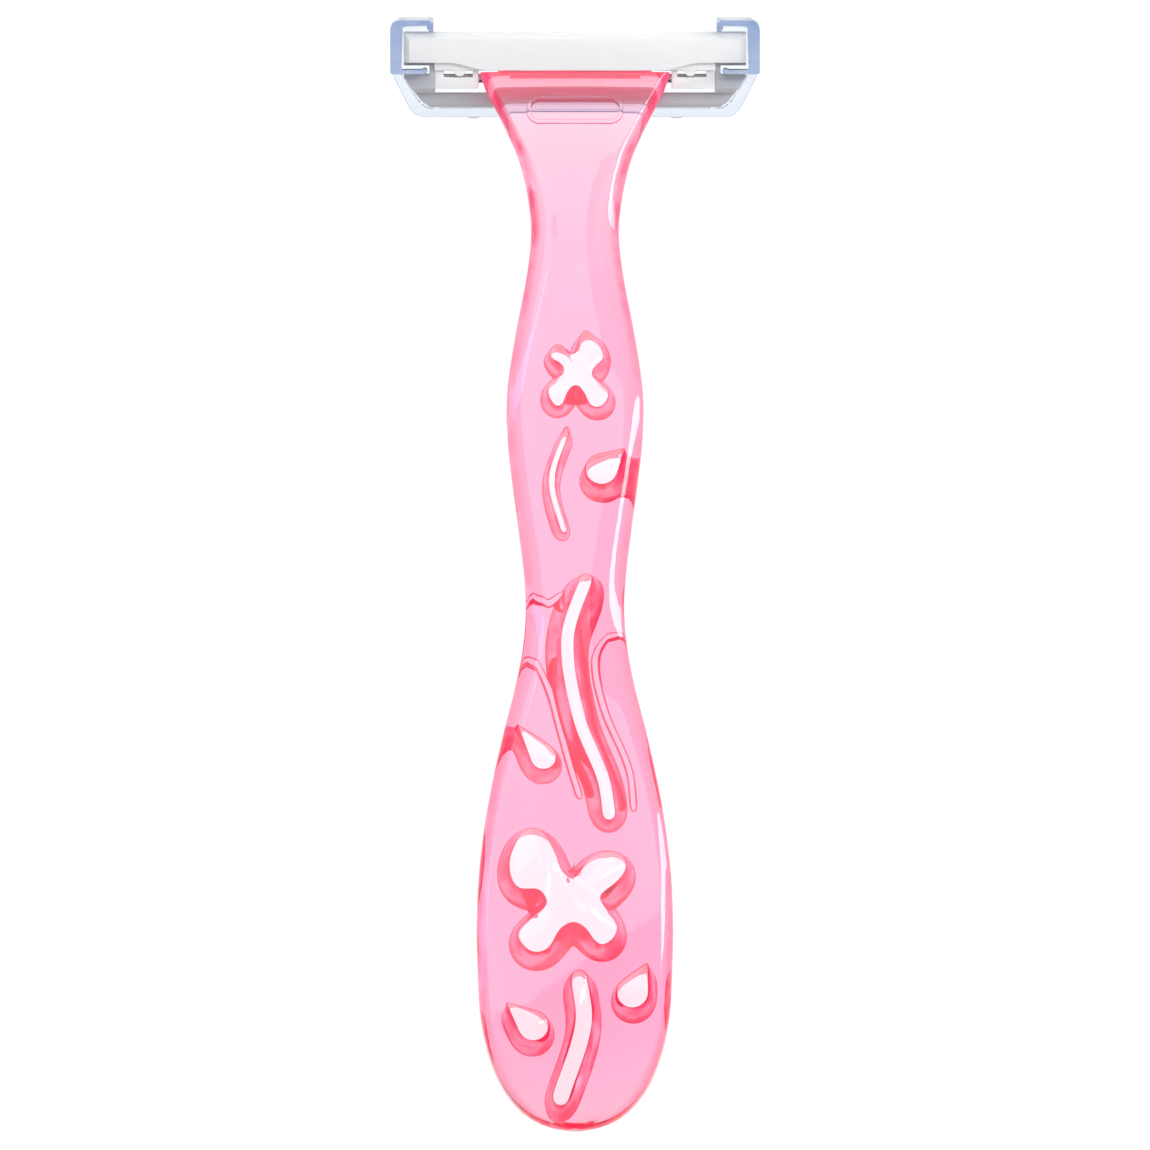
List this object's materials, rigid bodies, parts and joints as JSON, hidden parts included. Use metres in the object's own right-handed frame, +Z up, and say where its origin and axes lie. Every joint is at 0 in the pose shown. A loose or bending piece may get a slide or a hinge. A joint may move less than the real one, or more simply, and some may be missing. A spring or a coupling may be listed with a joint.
{
  "type": "cartridge razor",
  "caption": "Slim moulded razor with a pocketed clear handle, a fixed head of sprung blades with guard and lubricating strip, and a clear push-on blade cover.",
  "frame": {"origin": "on the surface that the razor lies on, under the middle of its box", "axes": "+X across the razor's width, +Y from the handle's end to the head, +Z up out of the razor's back"},
  "size_m": [0.0456, 0.14, 0.0127],
  "materials": {
    "clear_pink_plastic": "clear tinted gloss",
    "white_plastic": "satin moulded",
    "grey_plastic": "satin moulded",
    "strip_polymer": "waxy matt",
    "guard_rubber": "matt finned",
    "blade_steel": "ground and honed",
    "support_steel": "rolled strip",
    "finger_plastic": "satin moulded",
    "clear_blue_plastic": "clear gloss"
  },
  "bodies": {
    "razor": {"handle": "clear_pink_plastic", "head_base": "white_plastic", "front_frame": "grey_plastic", "head_cap": "white_plastic", "lubricating_strip": "strip_polymer", "guard_strip": "guard_rubber"},
    "blade_unit_1": {"blade_1": "blade_steel", "blade_support_1": "support_steel", "spring_fingers_1": "finger_plastic"},
    "blade_unit_2": {"blade_2": "blade_steel", "blade_support_2": "support_steel", "spring_fingers_2": "finger_plastic"},
    "blade_unit_3": {"blade_3": "blade_steel", "blade_support_3": "support_steel", "spring_fingers_3": "finger_plastic"},
    "cover": {"cover": "clear_blue_plastic"}
  },
  "joints": [
    {"name": "cover_pull_off", "type": "slide", "parent": "razor", "child": "cover", "axis": [0, 0.342, -0.9397], "range_m": [0, 0.02]},
    {"name": "blade_1_float", "type": "slide", "parent": "razor", "child": "blade_unit_1", "axis": [0, -0.342, 0.9397], "range_m": [0, 0.00035], "stiffness_N_per_m": 400, "springref_m": -0.0003},
    {"name": "blade_2_float", "type": "slide", "parent": "razor", "child": "blade_unit_2", "axis": [0, -0.342, 0.9397], "range_m": [0, 0.00035], "stiffness_N_per_m": 400, "springref_m": -0.0003},
    {"name": "blade_3_float", "type": "slide", "parent": "razor", "child": "blade_unit_3", "axis": [0, -0.342, 0.9397], "range_m": [0, 0.00035], "stiffness_N_per_m": 400, "springref_m": -0.0003}
  ]
}
